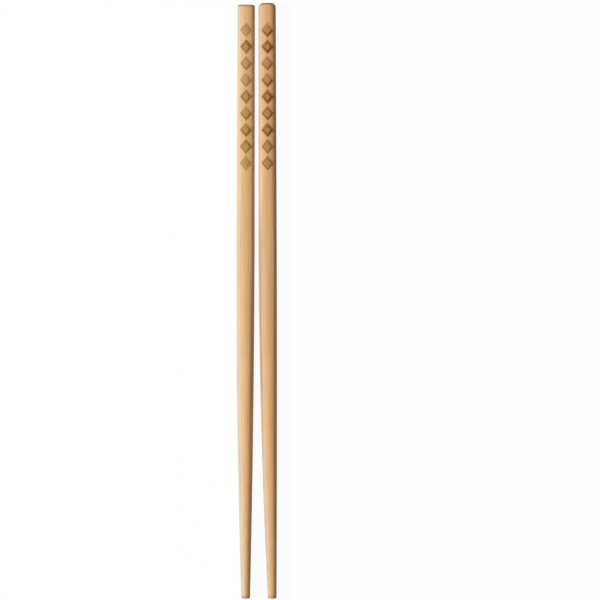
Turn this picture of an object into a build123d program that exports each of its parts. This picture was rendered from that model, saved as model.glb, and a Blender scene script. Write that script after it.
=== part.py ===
from build123d import *
from math import atan, cos, degrees, hypot, radians, sin, tan
import os

# A pair of bamboo chopsticks that lie side by side on a table, burnt diamonds upwards, with the thick
# ends towards +Y. Millimetres. The origin is the bottom centre of the box round the pair.

# One stick, measured along its own axis from the thick end
handle_length = 100.0
blade_length = 140.0
butt_width = 7.0
butt_flat = 2.8
belly_width = 7.3
tip_width = 3.5
tip_flat = 0.3
tip_rounding = 0.5
blade_stations = 11

# The burnt diamonds on the upper face of the handle
diamond_count = 9
first_diamond = 10.3
diamond_height = 5.8
diamond_width = 5.1
diamond_gap = 0.92
column_offset = 0.2
fine_line = 0.75
bold_line = 1.05
bold_diamonds = (2, 5, 7)
burn_depth = 0.2

# How the pair lies, and what differs from stick to stick. Leans in degrees and bows in millimetres
# are positive where the thin end goes towards +X.
butt_gap = 1.45
left_lean = -0.16
right_lean = 0.145
left_bow = 0.45
right_bow = 1.45
left_butt_rounding = 0.5
right_butt_rounding = 1.8
right_extra_length = 0.8

# Worked out from the sizes above
stick_length = handle_length + blade_length
taper = degrees(atan((belly_width - butt_width) / 2 / handle_length))
handle_corner = (butt_width - butt_flat) / 2
right_rim = min(right_butt_rounding, 0.9 * handle_corner)  # a rim can't outgrow the corners it runs round
tip_corner = (tip_width - tip_flat) / 2
diamond_pitch = diamond_height + diamond_gap
butt_spacing = butt_width + butt_gap


def resting_plane(x, y, lean):
    """Plane across the thick end of a stick: its normal points to the tip, its local Y points up.

    The axis climbs by the taper, so the flat underside of the handle lies on the table all along.
    """
    across = Vector(cos(radians(lean)), sin(radians(lean)), 0)
    towards_tip = Vector(sin(radians(lean)), -cos(radians(lean)), tan(radians(taper)))
    axis_height = butt_width / 2 * cos(radians(taper))
    return Plane(origin=(x, y, axis_height), x_dir=across, z_dir=towards_tip)


def whittle(butt, length, bow, inset=0.0):
    """A plain stick: a softly squared handle, then a blade that thins and rounds off to the tip.

    With an inset it is the core that lies that far below the surface.
    """
    butt_half = butt_width / 2 - inset
    belly_half = belly_width / 2 - inset
    with BuildPart() as form:
        # The handle is a square bar that swells a little, seen from above and from the side alike
        for facing, mode in ((butt.x_dir, Mode.ADD), (butt.y_dir, Mode.INTERSECT)):
            with BuildSketch(Plane(origin=butt.origin, x_dir=butt.z_dir, z_dir=facing)):
                Polygon(
                    (0, -butt_half),
                    (handle_length, -belly_half),
                    (handle_length, belly_half),
                    (0, butt_half),
                    align=None,
                )
            extrude(amount=belly_width, both=True, mode=mode)
        fillet(form.edges().sort_by(SortBy.LENGTH)[-4:], radius=handle_corner - inset)

        # The blade starts from the handle's own end face and thins along an arc. It is planed in
        # straight strokes, each of which stays within 0.01 mm of the arc.
        add(form.faces().sort_by(Axis(butt.origin, butt.z_dir))[-1])
        for station in range(1, blade_stations):
            share = station / (blade_stations - 1)
            width = belly_width - (belly_width - tip_width) * share**2 - 2 * inset
            corner = handle_corner - (handle_corner - tip_corner) * share - inset
            with BuildSketch(butt.offset(handle_length + (length - handle_length) * share)):
                with Locations((bow * share**2, 0)):
                    RectangleRounded(width, width, corner)
        loft(ruled=True)
    return form.part


def burnt_lines(butt, length, bow):
    """What the burning takes off the handle: one diamond-shaped ring for each motif of the row.

    The rings stand on the core, so their floor follows the surface of the stick. Rows are burnt at the
    same distance from the tips, whatever the length of the stick.
    """
    core = whittle(butt, length, bow, burn_depth)
    middle_to_side = diamond_width * diamond_height / 2 / hypot(diamond_width, diamond_height)
    row_start = first_diamond + length - stick_length
    with BuildPart() as lines:
        with BuildSketch(Plane(origin=butt.origin, x_dir=butt.x_dir, z_dir=butt.y_dir)):
            for number in range(diamond_count):
                line = bold_line if number + 1 in bold_diamonds else fine_line
                with Locations((column_offset, -row_start - number * diamond_pitch)):
                    for share, mode in ((1, Mode.ADD), (1 - line / middle_to_side, Mode.SUBTRACT)):
                        half_width = diamond_width / 2 * share
                        half_height = diamond_height / 2 * share
                        Polygon(
                            (half_width, 0),
                            (0, half_height),
                            (-half_width, 0),
                            (0, -half_height),
                            align=None,
                            mode=mode,
                        )
        extrude(amount=belly_width)
        add(core, mode=Mode.SUBTRACT)
    return lines.part


# Left chopstick: a flat cut butt and an almost straight blade
left_butt = resting_plane(-butt_spacing / 2, stick_length / 2, left_lean)
left_plain = whittle(left_butt, stick_length, left_bow)
left_lines = burnt_lines(left_butt, stick_length, left_bow)

with BuildPart() as left_chopstick:
    add(left_plain)
    along_left = Axis(left_butt.origin, left_butt.z_dir)
    fillet(left_chopstick.faces().sort_by(along_left)[0].edges(), radius=left_butt_rounding)
    fillet(left_chopstick.faces().sort_by(along_left)[-1].edges(), radius=tip_rounding)
    add(left_lines, mode=Mode.SUBTRACT)

# Right chopstick: a rounder butt that reaches further up, and a blade that has bowed outwards
right_length = stick_length + right_extra_length
right_butt = resting_plane(butt_spacing / 2, right_length - stick_length / 2, right_lean)
right_plain = whittle(right_butt, right_length, right_bow)
right_lines = burnt_lines(right_butt, right_length, right_bow)

with BuildPart() as right_chopstick:
    add(right_plain)
    along_right = Axis(right_butt.origin, right_butt.z_dir)
    fillet(right_chopstick.faces().sort_by(along_right)[0].edges(), radius=right_rim)
    fillet(right_chopstick.faces().sort_by(along_right)[-1].edges(), radius=tip_rounding)
    add(right_lines, mode=Mode.SUBTRACT)

# The pair is centred on the origin and written, one file for each stick
pair_box = left_chopstick.part.bounding_box().add(right_chopstick.part.bounding_box())
to_origin = Location((-pair_box.center().X, -pair_box.center().Y, 0))
left_chopstick.part.move(to_origin)
right_chopstick.part.move(to_origin)

os.makedirs("parts", exist_ok=True)
left_chopstick.part.label = "left_chopstick"
export_step(left_chopstick.part, "parts/left_chopstick.step")
right_chopstick.part.label = "right_chopstick"
export_step(right_chopstick.part, "parts/right_chopstick.step")
print("pair", left_chopstick.part.bounding_box().add(right_chopstick.part.bounding_box()))
print("volumes", left_chopstick.part.volume, right_chopstick.part.volume)
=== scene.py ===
# %% [markdown]
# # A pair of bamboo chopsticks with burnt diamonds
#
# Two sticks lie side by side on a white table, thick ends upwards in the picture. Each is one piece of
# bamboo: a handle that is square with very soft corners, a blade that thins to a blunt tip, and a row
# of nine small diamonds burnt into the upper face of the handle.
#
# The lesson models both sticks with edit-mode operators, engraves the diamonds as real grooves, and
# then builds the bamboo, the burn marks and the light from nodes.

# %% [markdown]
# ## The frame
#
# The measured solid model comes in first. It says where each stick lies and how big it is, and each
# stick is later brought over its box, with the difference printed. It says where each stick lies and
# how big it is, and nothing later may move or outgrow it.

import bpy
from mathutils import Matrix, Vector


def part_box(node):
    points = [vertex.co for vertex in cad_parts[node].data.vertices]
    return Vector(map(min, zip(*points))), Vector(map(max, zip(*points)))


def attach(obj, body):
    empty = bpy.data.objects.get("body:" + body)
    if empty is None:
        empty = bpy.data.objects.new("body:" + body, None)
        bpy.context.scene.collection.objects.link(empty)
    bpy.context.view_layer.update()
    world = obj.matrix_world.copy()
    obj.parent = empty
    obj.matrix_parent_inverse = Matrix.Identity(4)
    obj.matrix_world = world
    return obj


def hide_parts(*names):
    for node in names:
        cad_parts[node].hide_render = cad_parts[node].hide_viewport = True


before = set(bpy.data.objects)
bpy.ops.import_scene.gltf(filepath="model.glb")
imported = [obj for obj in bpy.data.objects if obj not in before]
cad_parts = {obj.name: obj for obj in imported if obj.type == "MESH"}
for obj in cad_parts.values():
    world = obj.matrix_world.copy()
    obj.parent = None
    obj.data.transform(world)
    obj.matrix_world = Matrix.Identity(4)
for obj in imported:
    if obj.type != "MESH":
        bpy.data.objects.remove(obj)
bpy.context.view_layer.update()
for stick_name in sorted(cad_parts):
    low, high = ([round(v * 1000, 2) for v in corner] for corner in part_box(stick_name))
    print(stick_name, "from", low, "to", high, "mm")

# %% [markdown]
# ## The camera
#
# The picture is taken from straight above, and the sticks show no perspective at all: their sides stay
# hidden even at the edge of the frame. A long lens from far away gives that. A normal lens close by
# would show the inner flanks, and an orthographic camera has no lens to refit for other views. The pair
# isn't in the middle of the picture, so the camera stands to the right of it.

# %% Camera
import bpy

MM = 0.001
picture_field = 242.7 * MM
picture_centre = (17.5 * MM, 0.3 * MM)
stick_middle_height = 3.65 * MM
lens = 250.0
clip_end_in_heights = 4

camera_data = bpy.data.cameras.new("overhead_camera")
camera_data.lens = lens
camera_height = picture_field * lens / camera_data.sensor_width
camera_data.clip_end = camera_height * clip_end_in_heights
camera = bpy.data.objects.new("overhead_camera", camera_data)
camera.location = (*picture_centre, stick_middle_height + camera_height)
bpy.context.scene.collection.objects.link(camera)
bpy.context.scene.camera = camera
print("the camera is", round(camera_height, 3), "m above the sticks")

# %% [markdown]
# ## One stick, station by station
#
# A real stick is sawn square, planed round its corners and then thinned towards the tip, so its section
# changes all the way: nearly square at the thick end, round at the tip. Even the square part isn't flat.
# Its four faces are crowned by sanding, and the light slides over them without a break. Extruding one
# outline and scaling it would keep the same roundness everywhere, and a bevelled square has flat sides.
#
# So a section is drawn at each station, as with a compass: four wide arcs for the faces and four tight
# ones for the corners, each spun on from the end of the one before. The tight radius is given as a share
# of half the width. At 1 the tight and the wide arcs are the same and the section is a circle. Every
# section has the same number of points, so the whole row is bridged in one go.

# %% Sizes of a stick, in millimetres
from math import cos, radians, sin

handle_length = 100.0
stick_length = 240.0
butt_width = 7.0
belly_width = 7.3
tip_width = 3.5
tip_rounding = 0.5
wide_arc = radians(36.5)
handle_tightness = 0.42
arc_balance = cos(wide_arc / 2) - sin(wide_arc / 2)


def wide_radius(half, tight):
    """Radius of the four faces that runs on smoothly into corners of the tight radius."""
    return (half - arc_balance * tight) / (1 - arc_balance)


handle_corner = handle_tightness * belly_width / 2
handle_face = wide_radius(belly_width / 2, handle_corner)
print("corner radius", round(handle_corner, 2), "face radius", round(handle_face, 2), "mm")

# %% Helpers for selecting
import bmesh
from mathutils import Vector


def deselect_all_objects():
    bpy.ops.object.select_all(action="DESELECT")


def select_only(thing):
    deselect_all_objects()
    thing.select_set(True)
    bpy.context.view_layer.objects.active = thing


def pick(kind, test):
    """Selects the faces or edges in edit mode whose middle passes the test, and says how many."""
    bpy.ops.mesh.select_mode(type=kind)
    bpy.ops.mesh.select_all(action="DESELECT")
    mesh = bmesh.from_edit_mesh(bpy.context.object.data)
    count = 0
    for item in mesh.faces if kind == "FACE" else mesh.edges:
        middle = sum((v.co for v in item.verts), Vector()) / len(item.verts)
        if test(middle, item):
            item.select_set(True)
            count += 1
    mesh.select_flush_mode()
    bmesh.update_edit_mesh(bpy.context.object.data)
    return count


# %% Helper: draw one section
from math import pi

wide_arc_steps = 14
tight_arc_steps = 10


def draw_section(along, width, sideways, tightness):
    """A crowned soft square standing across the stick, drawn as a closed loop of arcs."""
    half = width / 2
    tight = tightness * half
    wide = wide_radius(half, tight)
    face_centre = half - wide
    corner_centre = (
        (wide - tight) * sin(wide_arc / 2),
        face_centre + (wide - tight) * cos(wide_arc / 2),
    )

    def in_section(x, z, quarter):
        """A place in the section, turned by so many quarters from the top towards the right."""
        for _ in range(quarter):
            x, z = z, -x
        return ((sideways + x) * MM, -along * MM, z * MM)

    # a plane that is merged into its middle is one point, and the arcs are spun on from it
    start = in_section(-wide * sin(wide_arc / 2), face_centre + wide * cos(wide_arc / 2), 0)
    bpy.ops.mesh.primitive_plane_add(size=MM, location=start)
    bpy.ops.mesh.merge(type="CENTER")
    for quarter in range(4):
        for centre, angle, steps in (
            ((0, face_centre), wide_arc, wide_arc_steps),
            (corner_centre, pi / 2 - wide_arc, tight_arc_steps),
        ):
            centre = in_section(*centre, quarter)
            bpy.ops.mesh.spin(steps=steps, angle=-angle, center=centre, axis=(0, 1, 0))


# %% [markdown]
# ## The whole form
#
# The ends are rounded with more sections, closer and closer together and each narrower than the last,
# along a quarter circle. The left stick has a crisp thick end, and the right one is sanded to a dome.
# A straight blade would be simpler, but both blades bow to the right a little, as split bamboo does when
# it dries, so each section of the blade is also moved sideways.

# %% Helpers: the stations of a stick
end_steps = 7
blade_steps = 24


def rounded_end(radius, turn):
    """How far in from the end a section stands, and how far its sides are drawn in there."""
    return radius * (1 - cos(turn)), radius * (1 - sin(turn))


def stations_of(length, butt_rounding):
    """For each section, how far along it stands and how far the rounding of an end draws it in."""
    turns = [radians(90) * step / end_steps for step in range(end_steps + 1)]
    blade = length - tip_rounding - handle_length
    stations = [rounded_end(butt_rounding, turn) for turn in turns]
    stations += [(handle_length + blade * step / blade_steps, 0) for step in range(blade_steps)]
    for turn in reversed(turns):
        from_tip, drawn_in = rounded_end(tip_rounding, turn)
        stations.append((length - from_tip, drawn_in))
    return stations


# %% Helper: a plain stick
same_place = 0.002 * MM


def plain_stick(name, length, bow, butt_rounding, round_by):
    """A stick along -Y from its thick end at the origin, still without its diamonds.

    Its section becomes a circle at round_by, a share of the blade.
    """
    deselect_all_objects()
    bpy.ops.mesh.primitive_plane_add(size=butt_width * MM)
    stick = bpy.context.object
    stick.name = name
    stick.data.name = name
    bpy.ops.object.mode_set(mode="EDIT")
    bpy.ops.mesh.select_mode(type="VERT")
    bpy.ops.mesh.delete(type="VERT")

    for along, drawn_in in stations_of(length, butt_rounding):
        up_handle = min(along / handle_length, 1)
        down_blade = max(along - handle_length, 0) / (length - handle_length)
        width = butt_width + (belly_width - butt_width) * up_handle
        width -= (belly_width - tip_width) * down_blade**2
        tightness = min(handle_tightness + (1 - handle_tightness) * down_blade / round_by, 1)
        draw_section(along, width - 2 * drawn_in, bow * down_blade**2, tightness)
    bpy.ops.mesh.select_all(action="SELECT")
    bpy.ops.mesh.remove_doubles(threshold=same_place)
    bpy.ops.mesh.bridge_edge_loops()

    # the two ends are still open, so the edges there have only one face
    for end in (0, -length * MM):
        pick("EDGE", lambda middle, edge: abs(middle.y - end) < same_place and len(edge.link_faces) < 2)
        bpy.ops.mesh.edge_face_add()
    bpy.ops.mesh.select_all(action="SELECT")
    bpy.ops.mesh.normals_make_consistent(inside=False)
    bpy.ops.object.mode_set(mode="OBJECT")
    print(name, len(stick.data.polygons), "faces, size", [round(v / MM, 2) for v in stick.dimensions])
    return stick


# %% Model both sticks
right_extra_length = 0.8
left_bow = 0.45
right_bow = 1.45
left_butt_rounding = 0.6
right_butt_rounding = 1.8
left_round_by = 0.85
right_round_by = 1.15
right_length = stick_length + right_extra_length

left_stick = plain_stick("left_stick", stick_length, left_bow, left_butt_rounding, left_round_by)
right_stick = plain_stick("right_stick", right_length, right_bow, right_butt_rounding, right_round_by)

# %% [markdown]
# ## The burnt diamonds
#
# The diamonds are burnt into the wood with a hot line, so each is a very shallow groove with sloping
# walls and a rim, and not only a brown mark. A boolean with a diamond-shaped cutter would do, but its
# floor would be flat while the stick is crowned, and it leaves long thin faces. Here each diamond is
# drawn on the surface with straight cuts: one lengthwise through the row, one across each diamond and
# each gap, and then one for each side of the outer and the inner outline, made only in its own quarter.
# The faces between the two outlines are inset and sunk at once, so the floor follows the crown of the
# stick. The second, fifth and seventh diamonds have a broader line.

# %% Sizes of the diamonds, in millimetres
from math import hypot

diamond_count = 9
first_diamond = 10.3
diamond_height = 5.8
diamond_width = 5.1
diamond_gap = 0.92
column_offset = 0.2
fine_line = 0.75
bold_line = 1.05
bold_diamonds = (2, 5, 7)
burn_depth = 0.1
groove_slope = 0.22
beside_row = 0.4
same_place_on_cut = 0.01
half_height = diamond_height / 2
half_width = diamond_width / 2
diamond_pitch = diamond_height + diamond_gap
middle_to_side = half_width * half_height / hypot(half_width, half_height)
print("a side of a diamond is", round(middle_to_side, 2), "mm from its middle")


# %% Helpers: where a place is in the row
def line_of(number):
    """How broad a diamond's line is. The diamonds are counted from 0 at the thick end."""
    return bold_line if number + 1 in bold_diamonds else fine_line


def right_of_row(c):
    return c.x / MM - column_offset


def below_diamond(c, row_start, number=0):
    """How far a place is from a diamond's middle, towards the tip."""
    return -c.y / MM - row_start - number * diamond_pitch


def on_top(c):
    return c.z > 0 and abs(right_of_row(c)) < half_width + beside_row


def on_line(c, row_start):
    """Whether a place lies between the outer and the inner outline of the nearest diamond."""
    number = round(below_diamond(c, row_start) / diamond_pitch)
    if not 0 <= number < diamond_count or c.z < 0:
        return False
    share_across = abs(right_of_row(c)) / half_width
    share_along = abs(below_diamond(c, row_start, number)) / half_height
    return 1 - line_of(number) / middle_to_side < share_across + share_along < 1


# %% Helpers: cut the outlines
def cut(place, normal):
    """Cuts the selected faces with a plane through a place in millimetres."""
    bpy.ops.mesh.bisect(plane_co=[v * MM for v in place], plane_no=normal)


def cut_outline(row_start, number, share):
    """Cuts a diamond at this share of its full size, one side in its own quarter at a time."""
    for right, up in ((1, 1), (1, -1), (-1, 1), (-1, -1)):

        def in_quarter(c, face):
            above = -below_diamond(c, row_start, number) * up
            return on_top(c) and right_of_row(c) * right > 0 and 0 < above < diamond_pitch / 2

        pick("FACE", in_quarter)
        corner_across = column_offset + right * half_width * share
        corner_along = -row_start - number * diamond_pitch
        cut((corner_across, corner_along, 0), (right / half_width, up / half_height, 0))


def cut_row(row_start):
    """Cuts across each diamond and each gap, lengthwise through the row, and along the outlines."""
    half_pitch = diamond_pitch / 2
    past_row = diamond_count * diamond_pitch - half_pitch
    for half_cell in range(-1, 2 * diamond_count):
        pick("FACE", lambda c, face: 0 < -c.y / MM < handle_length)
        cut((0, -row_start - half_cell * half_pitch, 0), (0, 1, 0))
    pick("FACE", lambda c, face: on_top(c) and -half_pitch < below_diamond(c, row_start) < past_row)
    cut((column_offset, 0, 0), (1, 0, 0))
    for number in range(diamond_count):
        cut_outline(row_start, number, 1)
        cut_outline(row_start, number, 1 - line_of(number) / middle_to_side)
    bpy.ops.mesh.select_all(action="SELECT")
    bpy.ops.mesh.remove_doubles(threshold=same_place_on_cut * MM)


# %% Helper: engrave a stick
def engrave(stick, row_start):
    """Sinks the row of diamonds into the top of a stick that lies along -Y."""
    select_only(stick)
    bpy.ops.object.mode_set(mode="EDIT")
    cut_row(row_start)

    # the rims stay sharp in the shading, so the bright walls don't tint the wood beside them
    pick("FACE", lambda c, face: on_line(c, row_start))
    bpy.ops.mesh.region_to_loop()
    bpy.ops.mesh.mark_sharp()
    sunk = pick("FACE", lambda c, face: on_line(c, row_start))
    bpy.ops.mesh.inset(thickness=groove_slope * MM, depth=-burn_depth * MM, use_boundary=False)
    bpy.ops.object.mode_set(mode="OBJECT")
    print(stick.name, "has", sunk, "faces on its burnt lines, of", len(stick.data.polygons))


# %% Engrave both sticks
right_row_start = first_diamond + right_extra_length
engrave(left_stick, first_diamond)
engrave(right_stick, right_row_start)

# %% [markdown]
# ## Each stick goes to its place
#
# The sticks were modelled along the Y axis, where cutting is easy. On the table their thick ends lean a
# little towards each other, and each rests on the flat of its handle, so its axis climbs towards the
# tip by the handle's taper. The object is turned, the turn is applied, and then the stick's box is
# brought over the box of the solid that it stands for.

# %% Helpers: turn, place and apply
from math import atan

taper = atan((belly_width - butt_width) / 2 / handle_length)
print("the axes climb by", round(taper, 5), "in radians")


def box_of(stick):
    corners = [v.co for v in stick.data.vertices]
    return (
        Vector([min(c[axis] for c in corners) for axis in range(3)]),
        Vector([max(c[axis] for c in corners) for axis in range(3)]),
    )


def apply_place(stick):
    select_only(stick)
    bpy.ops.object.transform_apply(location=True, rotation=True, scale=True)


def lay(stick, node, lean):
    """Turns the stick, brings its box over the node's, and returns where its thick end's middle is."""
    stick.rotation_euler = (-taper, 0, radians(lean))
    apply_place(stick)
    stick_box, node_box = box_of(stick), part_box(node)
    place = (node_box[0] + node_box[1]) / 2 - (stick_box[0] + stick_box[1]) / 2
    stick.location = place
    apply_place(stick)
    for corner, node_corner in zip(box_of(stick), node_box):
        apart = [round((a - b) / MM, 3) for a, b in zip(corner, node_corner)]
        print(stick.name, "differs from its solid by", apart, "mm")
    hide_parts(node)
    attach(stick, "root")
    return place


# %% Lay both sticks and smooth them
left_lean = -0.16
right_lean = 0.145
smooth_below = radians(40)

left_end = lay(left_stick, "left_chopstick", left_lean)
right_end = lay(right_stick, "right_chopstick", right_lean)
for stick in (left_stick, right_stick):
    select_only(stick)
    bpy.ops.object.shade_smooth_by_angle(angle=smooth_below, keep_sharp_edges=True)

# %% [markdown]
# ## Bamboo from nodes
#
# Bamboo has no growth rings. It is a bundle of straight fibres that run the whole length of the stick,
# so every pattern in it is the same idea: noise that is pressed thin across the stick and drawn out
# along it. Broad bands turn the tan rosy or olive, narrow streaks make it lighter or darker, and the
# finest ones are the fibres themselves, with a few dark vessels among them. On the sawn thick end the
# same noise shows as dots, as it does on real bamboo.
#
# The patterns live in node groups, so both sticks share one recipe and each has its own values. A group
# only puts out colours, masks and heights; the shader stays in the material. Everything is measured in
# millimetres in the stick's own frame, which a Mapping node gives: across, along and up.

# %% Helpers for building nodes
def node(tree, kind, inputs=(), **settings):
    """Adds a node, sets its options, and fills or links its inputs from (name or number, value) pairs."""
    made = tree.nodes.new(kind)
    for option, value in settings.items():
        setattr(made, option, value)
    for socket, value in inputs:
        if isinstance(value, bpy.types.NodeSocket):
            tree.links.new(value, made.inputs[socket])
        else:
            made.inputs[socket].default_value = value
    return made


def maths(tree, operation, *values, clamp=False):
    inputs = tuple(enumerate(values))
    return node(tree, "ShaderNodeMath", inputs, operation=operation, use_clamp=clamp).outputs[0]


def multiply(tree, product, *values):
    """Multiplies as many values as it is given."""
    for value in values:
        product = maths(tree, "MULTIPLY", product, value)
    return product


def blend_colours(tree, share, first, second, kind="MIX"):
    """A Mix node has inputs for each kind of data: 0 is the share, and 6 and 7 are the colours."""
    inputs = ((0, share), (6, first), (7, second))
    return node(tree, "ShaderNodeMix", inputs, data_type="RGBA", blend_type=kind).outputs[2]


def spread(tree, value, low, high, to_low=0.0, to_high=1.0, smooth=True):
    """Brings a range of a value to another range, with soft ends."""
    inputs = ((0, value), (1, low), (2, high), (3, to_low), (4, to_high))
    kind = "SMOOTHSTEP" if smooth else "LINEAR"
    return node(tree, "ShaderNodeMapRange", inputs, interpolation_type=kind).outputs[0]


# %% Helpers: drawn-out noise, the stick's directions and a new group
shift_by_axis = (1, 7, 3)


def drawn_out_noise(tree, place, across, along, detail=2.0, roughness=0.5, shift=0.0):
    """Noise whose patches are so many millimetres across and along the stick.

    The shift takes each pattern from a place of its own in the noise, so no two are alike.
    """
    moved = ((0, place), (1, [shift * share for share in shift_by_axis]))
    shifted = node(tree, "ShaderNodeVectorMath", moved, operation="ADD").outputs[0]
    pressed = ((0, shifted), (1, (1 / across, 1 / along, 1 / across)))
    squeezed = node(tree, "ShaderNodeVectorMath", pressed, operation="MULTIPLY").outputs[0]
    inputs = (("Vector", squeezed), ("Scale", 1.0), ("Detail", detail), ("Roughness", roughness))
    return node(tree, "ShaderNodeTexNoise", inputs).outputs["Fac"]


def directions(tree, place):
    """Splits a place into how far it is right of the axis, along from the thick end, and above."""
    parts = node(tree, "ShaderNodeSeparateXYZ", ((0, place),)).outputs
    return parts[0], maths(tree, "MULTIPLY", parts[1], -1.0), parts[2]


def new_group(name, inputs, outputs):
    tree = bpy.data.node_groups.new(name, "ShaderNodeTree")
    for in_out, sockets in (("INPUT", inputs), ("OUTPUT", outputs)):
        for label, kind in sockets.items():
            tree.interface.new_socket(name=label, in_out=in_out, socket_type="NodeSocket" + kind)
    entry = tree.nodes.new("NodeGroupInput")
    leave = tree.nodes.new("NodeGroupOutput")
    return tree, entry.outputs, leave.inputs


# %% [markdown]
# ## From flank to flank
#
# The left side, which faces the window, is painted paler: a painted highlight on the lit flank. The
# right side takes a browner tone. A point's place across the stick is counted from -1 at the left
# flank to 1 at the right flank, on the thin blade as well as on the handle, and follows the bow. Plain
# colour with noise over it would miss this, and the sticks would look moulded.

# %% Values of the tones across the stick
# where a tone begins and where it is full: across the stick as a share, along it in millimetres
highlight_on_handle = (-0.2, -1.0)
highlight_on_blade = (0.0, -0.6)
highlight_widens = (145.0, 195.0)
outer_side = (0.2, 0.8)
rosy_noise = {"across": 3.2, "along": 60, "shift": 11.0}
olive_noise = {"across": 2.6, "along": 75, "shift": 37.0}
# of a noise: where it begins to show, where it shows most, and what it is at the one and at the other
rosy_range = (0.46, 0.66, 0.0, 0.8)
olive_range = (0.50, 0.70, 0.0, 0.6)

# %% Node group: bamboo, its tones
bamboo, given, result = new_group(
    "bamboo_fibres",
    {
        "Place": "Vector",
        "Bow": "Float",
        "Painted highlight": "Color",
        "Tan": "Color",
        "Outer": "Color",
        "Rosy": "Color",
        "Olive": "Color",
        "Vessel and shade": "Color",
        "Painted shadow": "Float",
        "Shade": "Float",
        "Shade from": "Float",
        "Shade to": "Float",
    },
    {"Color": "Color", "Fibres": "Float", "Height": "Float"},
)
from_axis, along, _ = directions(bamboo, given["Place"])
down_blade = spread(bamboo, along, handle_length, stick_length, smooth=False)
down_blade = multiply(bamboo, down_blade, down_blade)
thinned = multiply(bamboo, down_blade, (belly_width - tip_width) / 2)
half = maths(bamboo, "SUBTRACT", belly_width / 2, thinned)
from_bowed_axis = maths(bamboo, "SUBTRACT", from_axis, multiply(bamboo, down_blade, given["Bow"]))
across = maths(bamboo, "DIVIDE", from_bowed_axis, half)

# the painted highlight on the lit left flank reaches further over the thin blade than over the handle
highlight_from, highlight_to = (
    spread(bamboo, along, *highlight_widens, on_handle, on_blade)
    for on_handle, on_blade in zip(highlight_on_handle, highlight_on_blade)
)
painted_highlight_side = spread(bamboo, across, highlight_from, highlight_to)
# painted highlight: the left flank, lit by the window, is painted paler than the tan
tone = blend_colours(bamboo, painted_highlight_side, given["Tan"], given["Painted highlight"])
tone = blend_colours(bamboo, spread(bamboo, across, *outer_side), tone, given["Outer"])
for label, noise, shows in (("Rosy", rosy_noise, rosy_range), ("Olive", olive_noise, olive_range)):
    bands = spread(bamboo, drawn_out_noise(bamboo, given["Place"], **noise), *shows)
    tone = blend_colours(bamboo, bands, tone, given[label])

# %% [markdown]
# ## Fibres, vessels and painted shade on the shoulders
#
# The fibres make the wood lighter and darker in narrow streaks, and the vessels are fine dark lines.
# A whole shoulder of the stick is also painted browner: on the left side of the middle that is the
# painted shadow of the neighbouring stick, and on the right side it is painted shade, whose place along
# the stick is given.

# %% Values of the fibres
streak_noise = {"across": 0.55, "along": 34, "detail": 3, "roughness": 0.6, "shift": 5.0}
fibre_noise = {"across": 0.16, "along": 9, "detail": 2, "roughness": 0.6, "shift": 23.0}
vessel_noise = {"across": 0.21, "along": 14, "detail": 1, "shift": 51.0}
streak_range = (0.3, 0.7, 0.93, 1.07)
fibre_range = (0.35, 0.7, 1.07, 0.94)
fibre_shows = (0.5, 0.7)
vessel_shows = (0.66, 0.74)
vessel_strength = 0.45
streak_height = 0.6
fibre_sinks = 0.4
# the painted shade on the shoulders begins on the side of the middle and stops short of the flank
left_shoulder_begins = (-0.58, -0.8)
left_shoulder_stops = (-1.0, -0.86)
painted_shadow_begins = (70.0, 105.0)
painted_shadow_stops = (190.0, 150.0)
right_shoulder_begins = (0.38, 0.62)
right_shoulder_stops = (0.62, 0.88, 1.0, 0.1)
shade_fade = 30.0

# %% Node group: bamboo, its fibres
streaks, fibres, vessels = (
    drawn_out_noise(bamboo, given["Place"], **noise)
    for noise in (streak_noise, fibre_noise, vessel_noise)
)
level = multiply(
    bamboo,
    spread(bamboo, streaks, *streak_range, smooth=False),
    spread(bamboo, fibres, *fibre_range, smooth=False),
)
grey = node(bamboo, "ShaderNodeCombineColor", ((0, level), (1, level), (2, level))).outputs[0]
tone = blend_colours(bamboo, 1.0, tone, grey, kind="MULTIPLY")
vessel_mask = spread(bamboo, vessels, *vessel_shows)

# painted shadow: the left stick's shade, painted down the right stick's left shoulder
painted_shadow_share = multiply(
    bamboo,
    spread(bamboo, across, *left_shoulder_begins),
    spread(bamboo, across, *left_shoulder_stops),
    spread(bamboo, along, *painted_shadow_begins),
    spread(bamboo, along, *painted_shadow_stops),
    given["Painted shadow"],
)
shade_from, shade_to = given["Shade from"], given["Shade to"]
# painted shade on the right shoulder, where the corner turns away from the light
shade_share = multiply(
    bamboo,
    spread(bamboo, across, *right_shoulder_begins),
    spread(bamboo, across, *right_shoulder_stops),
    spread(bamboo, along, shade_from, maths(bamboo, "ADD", shade_from, shade_fade)),
    spread(bamboo, along, shade_to, maths(bamboo, "SUBTRACT", shade_to, shade_fade)),
    given["Shade"],
)
# the vessels are real dark lines; the painted shadow and painted shade use the same dark colour
vessel_and_painted_shade_share = maths(bamboo, "MAXIMUM", painted_shadow_share, shade_share)
vessel_and_painted_shade_share = maths(bamboo, "MAXIMUM", multiply(bamboo, vessel_mask, vessel_strength), vessel_and_painted_shade_share)
bamboo.links.new(blend_colours(bamboo, vessel_and_painted_shade_share, tone, given["Vessel and shade"]), result["Color"])

fibre_mask = maths(bamboo, "MAXIMUM", spread(bamboo, fibres, *fibre_shows), vessel_mask)
raised = multiply(bamboo, streaks, streak_height)
sunk = multiply(bamboo, fibre_mask, fibre_sinks)
bamboo.links.new(fibre_mask, result["Fibres"])
bamboo.links.new(maths(bamboo, "SUBTRACT", raised, sunk), result["Height"])
print(bamboo.name, "has", len(bamboo.nodes), "nodes")

# %% [markdown]
# ## The burn marks
#
# A hot line chars the groove and browns the wood beside it, and the inside of each diamond is toasted
# all over. The distance from a diamond's middle, counted as share across plus share along, is one on
# its outer outline, so a few sums give a mask for the line, one for the toasted inside and one for the
# soft halo. Real burning is uneven: noise wobbles the edges, the upper line is broader than the lower
# one, and the heat lingers where the line turns, most of all at the top and bottom of each diamond.
# Heat spreads round, so the halo fills the gap between two diamonds but doesn't run on past their sides.

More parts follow.
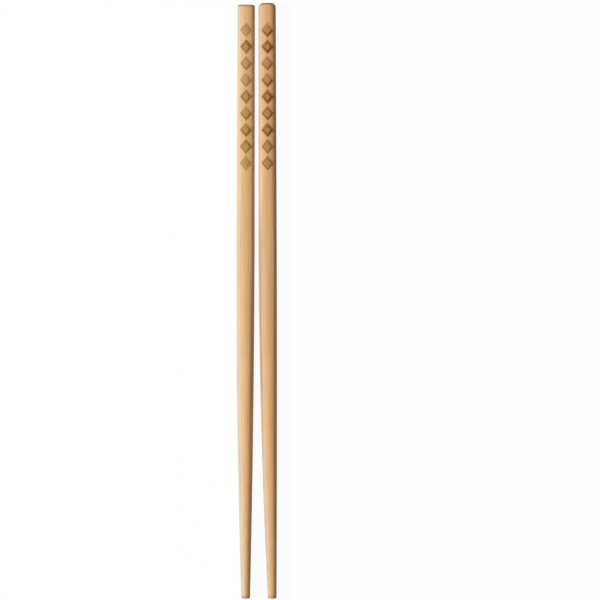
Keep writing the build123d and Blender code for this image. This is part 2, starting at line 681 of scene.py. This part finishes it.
# %% Values of the burn, in millimetres and in shares
wobble_noise = {"across": 0.5, "along": 0.5, "detail": 3, "roughness": 0.65, "shift": 2.0}
noise_middle = 0.5
wobble_reach = 0.28
soft_edge = 0.2
upper_line_extra = 0.22
upper_face = (0.2, 0.9)
corner_stops = (0.92, 1.08, 1.0, 0.0)
halves_meet = 1.2
sides_meet = 1.6
halo_reach = (-0.9, 0.1)
gap_share = 0.87
end_corner = (0.45, 0.95)
side_corner = (-0.45, -0.95, 0.0, 0.35)
char_sinks = 0.5

# %% Node group: burnt diamonds, the nearest one
burns, given, result = new_group(
    "burnt_diamonds",
    {"Place": "Vector", "Row start": "Float", "Line": "Float"},
    {
        "Line": "Float",
        "Inside": "Float",
        "Halo": "Float",
        "Corners": "Float",
        "Lower": "Float",
        "Right": "Float",
        "Number": "Float",
        "Height": "Float",
    },
)
from_axis, along, up = directions(burns, given["Place"])
from_row_start = maths(burns, "SUBTRACT", along, given["Row start"])
number = maths(burns, "ROUND", maths(burns, "DIVIDE", from_row_start, diamond_pitch))
number = maths(burns, "MINIMUM", maths(burns, "MAXIMUM", number, 0.0), diamond_count - 1.0)
downwards = maths(burns, "SUBTRACT", from_row_start, multiply(burns, number, diamond_pitch))
rightwards = maths(burns, "SUBTRACT", from_axis, column_offset)
share_along = maths(burns, "DIVIDE", maths(burns, "ABSOLUTE", downwards), half_height)
share_across = maths(burns, "DIVIDE", maths(burns, "ABSOLUTE", rightwards), half_width)

# which diamond it is, from 0 to 1, and which half and which side of it
middle_of_step = maths(burns, "ADD", number, 0.5)
burns.links.new(maths(burns, "DIVIDE", middle_of_step, float(diamond_count)), result["Number"])
lower_half = spread(burns, downwards, -halves_meet, halves_meet)
burns.links.new(lower_half, result["Lower"])
burns.links.new(spread(burns, rightwards, -sides_meet, sides_meet), result["Right"])

# %% Node group: burnt diamonds, the masks
wobble = drawn_out_noise(burns, given["Place"], **wobble_noise)
wobble = maths(burns, "SUBTRACT", wobble, noise_middle)
# in millimetres, measured inwards from the outer outline, square to it
outward = maths(burns, "ADD", share_along, share_across)
inwards = multiply(burns, maths(burns, "SUBTRACT", 1.0, outward), middle_to_side)
inwards = maths(burns, "ADD", inwards, multiply(burns, wobble, wobble_reach))
above = spread(burns, up, *upper_face)

# the mark stops at its corners instead of running on in a point
to_corner = maths(burns, "MAXIMUM", share_along, share_across)
past_outline = spread(burns, inwards, -soft_edge, soft_edge)
past_outline = multiply(burns, past_outline, spread(burns, to_corner, *corner_stops))
burns.links.new(multiply(burns, past_outline, above), result["Inside"])

line = maths(burns, "ADD", given["Line"], spread(burns, lower_half, 0, 1, upper_line_extra, 0.0))
past_line = spread(burns, maths(burns, "SUBTRACT", inwards, line), -soft_edge, soft_edge)
line_mask = maths(burns, "SUBTRACT", past_outline, past_line, clamp=True)
line_mask = multiply(burns, line_mask, above)
burns.links.new(line_mask, result["Line"])
char_level = maths(burns, "SUBTRACT", wobble, char_sinks)
burns.links.new(multiply(burns, line_mask, char_level), result["Height"])

gap_reach = maths(burns, "MAXIMUM", multiply(burns, share_along, gap_share), share_across)
halo = multiply(burns, spread(burns, inwards, *halo_reach), spread(burns, gap_reach, *corner_stops))
burns.links.new(multiply(burns, halo, above), result["Halo"])

# 1 at the top and bottom corners, -1 at the left and right ones
pointed = maths(burns, "SUBTRACT", share_along, share_across)
end_corners = spread(burns, pointed, *end_corner)
side_corners = spread(burns, pointed, *side_corner)
burns.links.new(maths(burns, "MAXIMUM", end_corners, side_corners), result["Corners"])
print(burns.name, "has", len(burns.nodes), "nodes")

# %% [markdown]
# ## The ends
#
# The rim of the thick end and the very tip are painted a little darker, as painted shade on their
# roundings. This group gives a mask for each, from the distance to either end, and the dots
# that the cut fibre bundles make there.

# %% Values of the ends, in millimetres
uneven_noise = {"across": 0.4, "along": 0.8, "detail": 2, "shift": 9.0}
uneven_reach = 0.5
thick_end_darkens = (0.3, 1.2, 1.0, 0.0)
tip_darkens = (0.2, 1.8, 1.0, 0.0)
bundle_noise = {"across": 0.3, "along": 30, "detail": 1, "shift": 43.0}
bundle_shows = (0.53, 0.62)
dots_on_thick_end = (0.1, 0.9, 1.0, 0.0)
dots_on_tip = (0.1, 0.4, 1.0, 0.0)

# %% Node group: painted shade on the ends
ends, given, result = new_group(
    "shaded_ends",
    {"Place": "Vector", "Length": "Float"},
    {"Thick end": "Float", "Tip": "Float", "Dots": "Float"},
)
uneven = drawn_out_noise(ends, given["Place"], **uneven_noise)
uneven = maths(ends, "SUBTRACT", uneven, noise_middle)
_, along, _ = directions(ends, given["Place"])
from_thick_end = maths(ends, "ADD", along, multiply(ends, uneven, uneven_reach))
from_tip = maths(ends, "SUBTRACT", given["Length"], from_thick_end)
ends.links.new(spread(ends, from_thick_end, *thick_end_darkens), result["Thick end"])
ends.links.new(spread(ends, from_tip, *tip_darkens), result["Tip"])
bundles = spread(ends, drawn_out_noise(ends, given["Place"], **bundle_noise), *bundle_shows)
on_thick_end = spread(ends, from_thick_end, *dots_on_thick_end)
on_tip = spread(ends, from_tip, *dots_on_tip)
on_cut_face = maths(ends, "MAXIMUM", on_thick_end, on_tip)
ends.links.new(multiply(ends, bundles, on_cut_face), result["Dots"])
print(ends.name, "has", len(ends.nodes), "nodes")

# %% [markdown]
# ## A strength for every diamond
#
# The hot tool never presses evenly. On one handle some diamonds are hardly more than toasted and others
# are dark all round, and the upper half of one can be pale while its lower half is strong. Nine separate
# materials would do it, but a colour ramp with nine hard steps is simpler: the burn group says which
# diamond a point belongs to, and the ramp turns that into a strength. Two ramps, one for the upper and
# one for the lower half, blend over the middle, and the left side is burnt more lightly than the right.

# %% Helper: one value for each diamond
def for_each_diamond(tree, number, values):
    """A ramp with hard steps, which gives each diamond its own value. It has two stops when new."""
    made = node(tree, "ShaderNodeValToRGB", (("Fac", number),))
    made.color_ramp.interpolation = "CONSTANT"
    stops = made.color_ramp.elements
    for index, value in enumerate(values):
        stop = stops[index] if index < 2 else stops.new(index / diamond_count)
        stop.position = index / diamond_count
        stop.color = (value, value, value, 1)
    return made.outputs["Color"]


# %% Helper: how strongly each diamond is burnt
toasted_least_and_most = (0.75, 0.88)
left_and_right_burn = (0.75, 1.1)


def burn_strengths(tree, burn, values):
    """The strength of the line, which differs over a diamond, and that of its toasted inside."""
    upper = for_each_diamond(tree, burn["Number"], values["upper"])
    lower = for_each_diamond(tree, burn["Number"], values["lower"])
    burnt = spread(tree, burn["Lower"], 0, 1, upper, lower)
    burnt = multiply(tree, burnt, spread(tree, burn["Right"], 0, 1, *left_and_right_burn))
    mean_of_halves = spread(tree, 0.5, 0, 1, upper, lower)
    toasted = spread(tree, mean_of_halves, 0, 1, *toasted_least_and_most, smooth=False)
    return burnt, toasted


# %% Helper: burn the diamonds into the wood's colour
patchy_noise = {"across": 0.45, "along": 0.9, "detail": 3, "roughness": 0.7, "shift": 71.0}
patchy_range = (0.35, 0.6, 0.7, 1.0)
inside_strength = 0.82
corner_strength = 0.7


def line_of_all(tree, fine_burn, bold_burn):
    """The mask of the fine line, with the broader one over it on the bold diamonds."""
    bold_here = [float(index + 1 in bold_diamonds) for index in range(diamond_count)]
    is_bold = for_each_diamond(tree, fine_burn["Number"], bold_here)
    broader = maths(tree, "SUBTRACT", bold_burn["Line"], fine_burn["Line"], clamp=True)
    return maths(tree, "ADD", fine_burn["Line"], multiply(tree, broader, is_bold), clamp=True)


def burn_diamonds(tree, place, row_start, wood_colour, values):
    """Gives the colour with the burn marks on it, the share of the burnt line, and its height."""
    both_burns = []
    for line in (fine_line, bold_line):
        inputs = (("Place", place), ("Row start", row_start), ("Line", line))
        both_burns.append(node(tree, "ShaderNodeGroup", inputs, node_tree=burns).outputs)
    fine_burn, bold_burn = both_burns
    burnt, toasted = burn_strengths(tree, fine_burn, values)
    line_mask = line_of_all(tree, fine_burn, bold_burn)
    patchy = spread(tree, drawn_out_noise(tree, place, **patchy_noise), *patchy_range)
    line_share = maths(tree, "MULTIPLY", multiply(tree, line_mask, burnt), patchy, clamp=True)

    colour = wood_colour
    for share, label in (
        (multiply(tree, fine_burn["Halo"], toasted, values["halo share"]), "halo"),
        (multiply(tree, fine_burn["Inside"], toasted, inside_strength), "inside"),
        (line_share, "line"),
        (multiply(tree, line_share, fine_burn["Corners"], burnt, corner_strength), "corner"),
    ):
        colour = blend_colours(tree, share, colour, values[label])
    return colour, line_share, fine_burn["Height"]


# %% [markdown]
# ## The material of a stick
#
# The material puts the groups together in the order in which the real stick was made: the wood first,
# then the burn, and last the painted shade on the ends. The wood is dry and waxed at most, so
# it has a broad, weak sheen. Fibres and char are rougher than the wood between them, and a bump of a
# few hundredths of a millimetre breaks the sheen along the grain. A finer mesh could carry that relief
# too, but it would take millions of faces.

# %% Values of the surface
wood_ior = 1.45
wood_sheen = 0.2
wood_and_fibre_roughness = (0.6, 0.72)
char_roughness = 0.2
fibre_relief = 0.35
relief_strength = 0.5
relief_depth = 0.03
# painted shade on the thick end's rim and the tip, and the dark dots of the cut fibre bundles
end_tints = (
    ("Thick end", 0.55, (0.25, 0.13, 0.055, 1)),
    ("Tip", 0.45, (0.22, 0.11, 0.05, 1)),
    ("Dots", 0.45, (0.15, 0.075, 0.03, 1)),
)


# %% Helper: the material of a stick
def stick_frame(tree, end_place, lean):
    """Brings Object coordinates into the stick's own frame, in millimetres."""
    coordinates = node(tree, "ShaderNodeTexCoord").outputs
    inputs = (
        ("Vector", coordinates["Object"]),
        ("Location", end_place),
        ("Rotation", (0, 0, radians(lean))),
        ("Scale", (MM, MM, MM)),
    )
    return node(tree, "ShaderNodeMapping", inputs, vector_type="TEXTURE").outputs[0]


def stick_material(name, end_place, lean, length, row_start, wood_values, burn_values):
    material = bpy.data.materials.new(name)
    material.use_nodes = True
    tree = material.node_tree
    shader = tree.nodes["Principled BSDF"]
    shader.inputs["IOR"].default_value = wood_ior
    shader.inputs["Specular IOR Level"].default_value = wood_sheen

    place = stick_frame(tree, end_place, lean)
    inputs = (("Place", place), *wood_values.items())
    wood = node(tree, "ShaderNodeGroup", inputs, node_tree=bamboo).outputs
    colour, line_share, burn_height = burn_diamonds(tree, place, row_start, wood["Color"], burn_values)
    inputs = (("Place", place), ("Length", length))
    end_masks = node(tree, "ShaderNodeGroup", inputs, node_tree=ends).outputs
    # painted shade on the rounded ends, then the end-grain dots
    for label, share, tint in end_tints:
        colour = blend_colours(tree, multiply(tree, end_masks[label], share), colour, tint)
    tree.links.new(colour, shader.inputs["Base Color"])

    roughness = spread(tree, wood["Fibres"], 0, 1, *wood_and_fibre_roughness, smooth=False)
    char = multiply(tree, line_share, char_roughness)
    roughness = maths(tree, "ADD", roughness, char, clamp=True)
    tree.links.new(roughness, shader.inputs["Roughness"])
    relief = maths(tree, "ADD", multiply(tree, wood["Height"], fibre_relief), burn_height)
    inputs = (("Strength", relief_strength), ("Distance", relief_depth * MM), ("Height", relief))
    bump = node(tree, "ShaderNodeBump", inputs).outputs["Normal"]
    tree.links.new(bump, shader.inputs["Normal"])
    print(name, "has", len(tree.nodes), "nodes")
    return material


# %% [markdown]
# ## Two sticks, two materials
#
# Both sticks come from the same recipe, but no two pieces of bamboo are alike. The left one is paler,
# with painted shade on its right shoulder where the blade begins, and its burn is light. The right one
# is browner, with the left stick's painted shadow down its left shoulder and painted shade on the right
# shoulder of its handle, and it is burnt harder. The names in the lists are those of the groups' inputs.
# The rows of nine numbers are the strengths of the diamonds, from the thick end down.

# %% Material of the left stick
left_wood = {
    "Bow": left_bow,
    # painted highlight on the lit left flank
    "Painted highlight": (0.56, 0.457, 0.318, 1),
    "Tan": (0.74, 0.45, 0.222, 1),
    "Outer": (0.76, 0.43, 0.185, 1),
    "Rosy": (0.74, 0.44, 0.235, 1),
    "Olive": (0.66, 0.45, 0.18, 1),
    "Vessel and shade": (0.40, 0.22, 0.09, 1),
    # painted shadow of the neighbouring stick, not used on this one
    "Painted shadow": 0.0,
    # painted shade on the right shoulder of the upper blade
    "Shade": 0.45,
    "Shade from": 95.0,
    "Shade to": 185.0,
}
left_burn = {
    "upper": (0.15, 0.95, 0.1, 0.0, 0.55, 0.05, 0.3, 0.7, 0.1),
    "lower": (0.05, 0.7, 0.65, 0.45, 0.75, 1.0, 1.0, 0.65, 0.1),
    "halo share": 0.42,
    "halo": (0.50, 0.28, 0.10, 1),
    "inside": (0.42, 0.225, 0.072, 1),
    "line": (0.294, 0.13, 0.016, 1),
    "corner": (0.14, 0.06, 0.008, 1),
}
left_material = stick_material(
    "left_bamboo", left_end, left_lean, stick_length, first_diamond, left_wood, left_burn
)

# %% Material of the right stick
right_wood = {
    "Bow": right_bow,
    # painted highlight on the lit left flank
    "Painted highlight": (0.55, 0.44, 0.31, 1),
    "Tan": (0.715, 0.415, 0.188, 1),
    "Outer": (0.70, 0.383, 0.162, 1),
    "Rosy": (0.735, 0.407, 0.197, 1),
    "Olive": (0.645, 0.407, 0.162, 1),
    "Vessel and shade": (0.36, 0.19, 0.075, 1),
    # painted shadow of the left stick on this stick's left shoulder
    "Painted shadow": 0.55,
    # painted shade on the right shoulder of the handle
    "Shade": 0.35,
    "Shade from": -40.0,
    "Shade to": 100.0,
}
right_burn = {
    "upper": (0.0, 0.65, 0.15, 0.05, 0.7, 0.5, 0.6, 0.4, 0.4),
    "lower": (0.95, 0.95, 0.6, 0.95, 1.0, 0.85, 1.0, 0.5, 0.55),
    "halo share": 0.5,
    "halo": (0.45, 0.23, 0.08, 1),
    "inside": (0.41, 0.173, 0.053, 1),
    "line": (0.205, 0.06, 0.002, 1),
    "corner": (0.1, 0.025, 0.001, 1),
}
right_material = stick_material(
    "right_bamboo", right_end, right_lean, right_length, right_row_start, right_wood, right_burn
)
for stick, material in ((left_stick, left_material), (right_stick, right_material)):
    stick.data.materials.clear()
    stick.data.materials.append(material)

# %% [markdown]
# ## Table and light
#
# The picture has a pure white ground, soft light from the left and a dark right flank on both sticks.
# A real white table would throw so much light back that the flank would stay pale. So the table is a
# mid grey for the light that bounces off it, nearly white for the camera, and keeps a faint shadow.

# %% Helper: what the camera and mirrors see
def seen_directly(tree):
    """One for rays from the camera, from gloss and through glass, and zero for soft bounces."""
    path = node(tree, "ShaderNodeLightPath").outputs
    seen = maths(tree, "MAXIMUM", path["Is Camera Ray"], path["Is Glossy Ray"])
    return maths(tree, "MAXIMUM", seen, path["Is Transmission Ray"])


# %% Table
table_size = 6.0
table_glow = 0.95
table_bounce = (0.45, 0.45, 0.45, 1)
table_white = (0.98, 0.98, 0.98, 1)

deselect_all_objects()
bpy.ops.mesh.primitive_plane_add(size=table_size, location=(0, 0, 0))
table = bpy.context.object
table.name = "table"
table_material = bpy.data.materials.new("white_table")
table_material.use_nodes = True
tree = table_material.node_tree
tree.nodes.clear()
seen = seen_directly(tree)
table_colour = blend_colours(tree, seen, table_bounce, table_white)
matt = node(tree, "ShaderNodeBsdfDiffuse", (("Color", table_colour),))
glow = node(tree, "ShaderNodeEmission", (("Strength", 1.0),))
inputs = ((0, multiply(tree, seen, table_glow)), (1, matt.outputs[0]), (2, glow.outputs[0]))
mixed = node(tree, "ShaderNodeMixShader", inputs)
node(tree, "ShaderNodeOutputMaterial", (("Surface", mixed.outputs[0]),))
table.data.materials.append(table_material)
print("the table is", table_size, "m wide")

# %% [markdown]
# ## The window and the room
#
# One big lamp to the left is the window, and the world is the pale room round it. The lamp's strength
# is worked out from the brightness that a white surface facing it should have, so moving it nearer or
# further away doesn't change the picture's tones.

# %% Window
key_from_vertical = radians(50)
key_level = 1.16
key_distance = 1.5
key_size = 0.5

key_data = bpy.data.lights.new("window_light", type="AREA")
key_data.size = key_size
key_data.energy = key_level * pi * pi * key_distance**2
key = bpy.data.objects.new("window_light", key_data)
key.location = (-key_distance * sin(key_from_vertical), 0, key_distance * cos(key_from_vertical))
key.rotation_euler = (0, -key_from_vertical, 0)
bpy.context.scene.collection.objects.link(key)
print("the window gives", round(key_level * cos(key_from_vertical), 2), "on a level surface")

# %% Room
room_level = 0.28

world = bpy.data.worlds.new("white_room")
bpy.context.scene.world = world
world.use_nodes = True
tree = world.node_tree
tree.nodes.clear()
level = spread(tree, seen_directly(tree), 0, 1, room_level, 1.0, smooth=False)
background = node(tree, "ShaderNodeBackground", (("Strength", level),))
node(tree, "ShaderNodeOutputWorld", (("Surface", background.outputs[0]),))
bpy.context.scene.view_settings.view_transform = "Standard"
print("the room adds", room_level, "from all sides")
